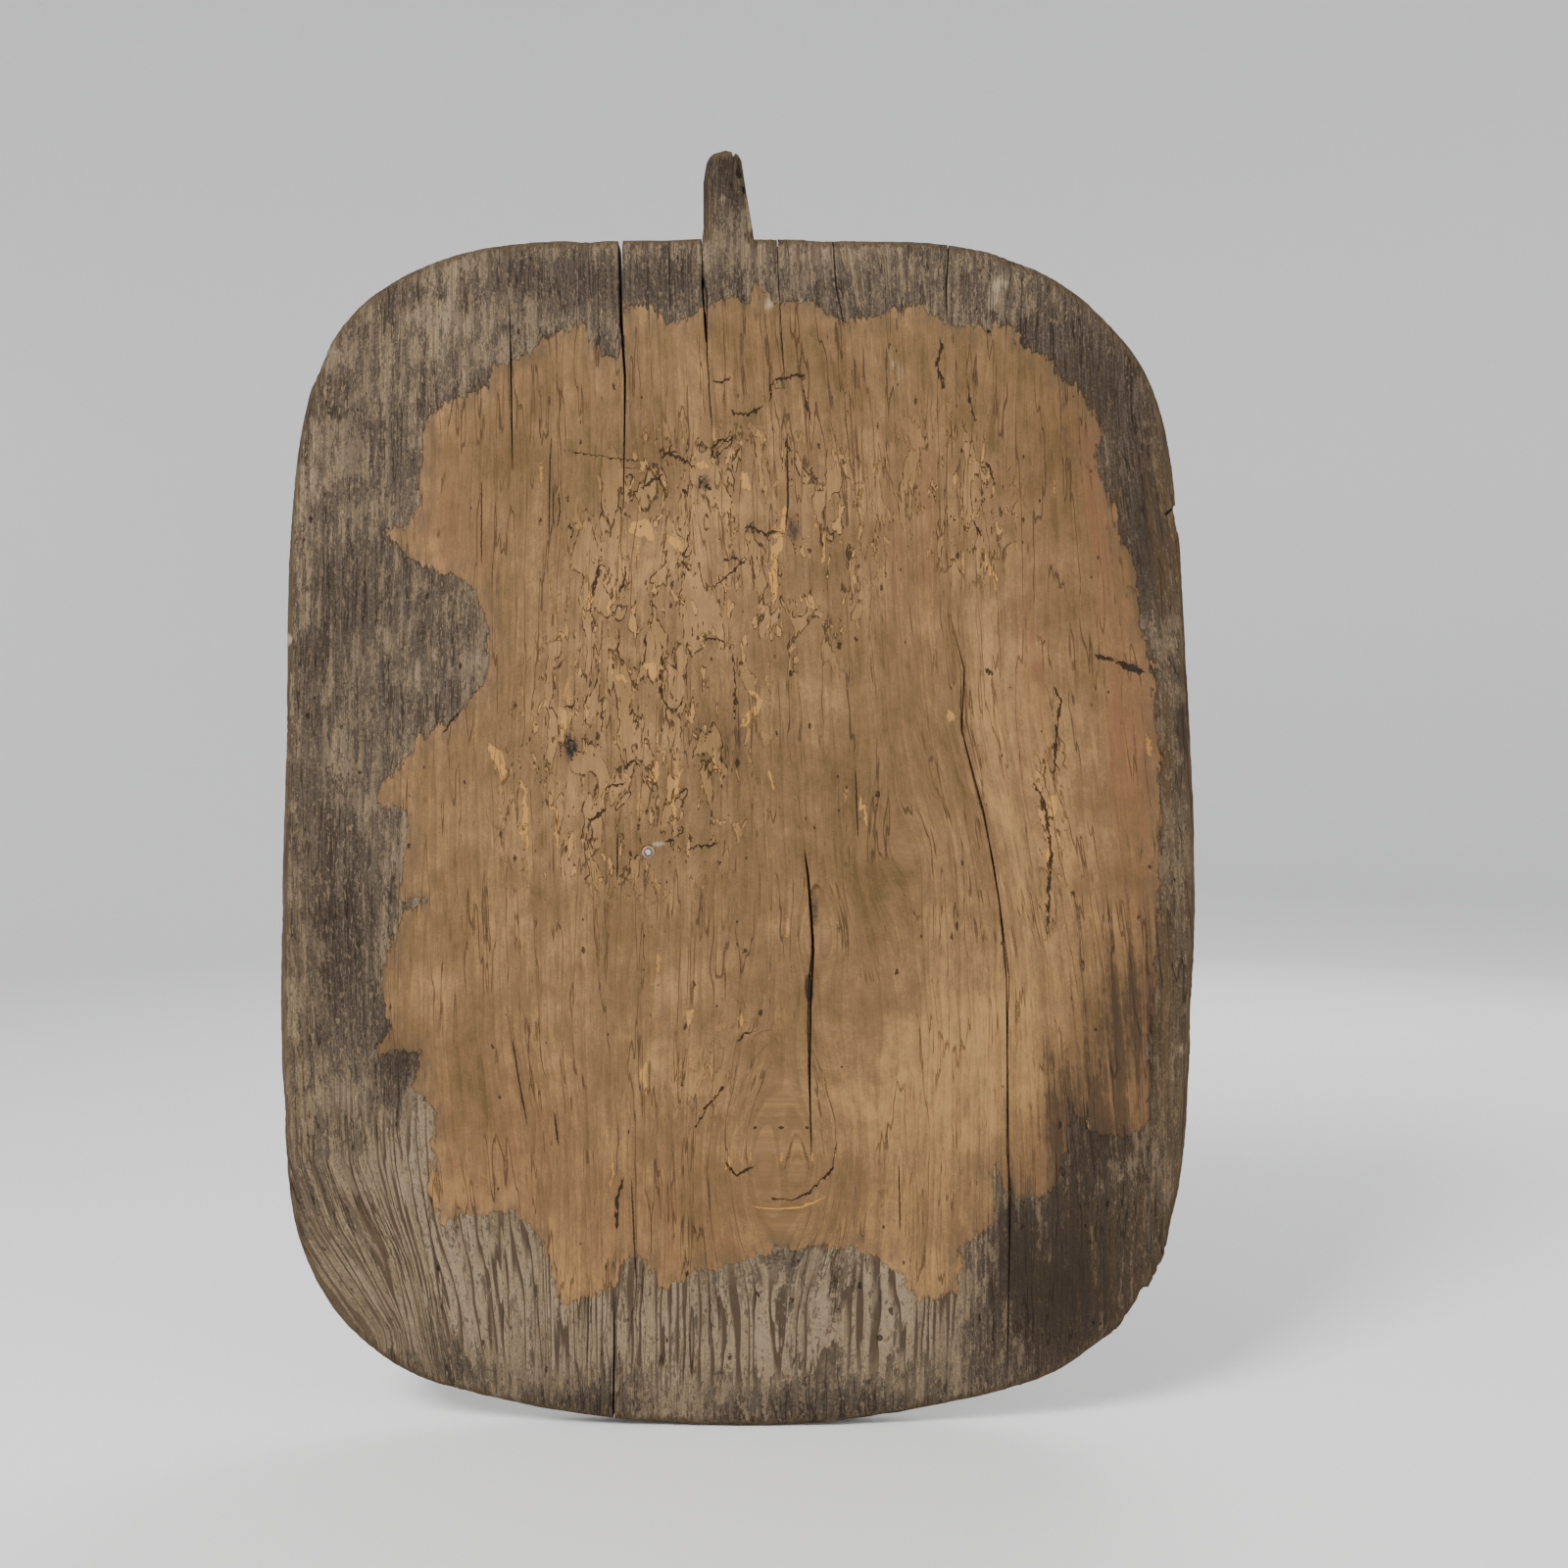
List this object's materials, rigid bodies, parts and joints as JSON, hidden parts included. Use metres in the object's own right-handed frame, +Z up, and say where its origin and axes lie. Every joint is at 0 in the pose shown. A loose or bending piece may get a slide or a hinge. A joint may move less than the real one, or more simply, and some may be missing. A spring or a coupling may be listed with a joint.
{
  "type": "wooden dough board",
  "caption": "Wide country-made dough board cut from one slab of weathered softwood, with a short carved tab handle, rounded worn edges and old iron nails.",
  "frame": {"origin": "bottom centre of the bounding box, under the lowest point of the curved lower edge", "axes": "+Z up the grain to the handle, the worn face towards -Y, +X to the right of someone looking at that face"},
  "size_m": [0.656, 0.028, 0.9151],
  "materials": {
    "weathered_softwood": "worn brown middle, grey weathered border",
    "polished_iron": "worn bright",
    "rusted_iron": "dark rust"
  },
  "bodies": {
    "root": {"board": "weathered_softwood", "nail_centre": "polished_iron", "nail_left": "rusted_iron", "nail_lower": "rusted_iron"}
  },
  "joints": []
}
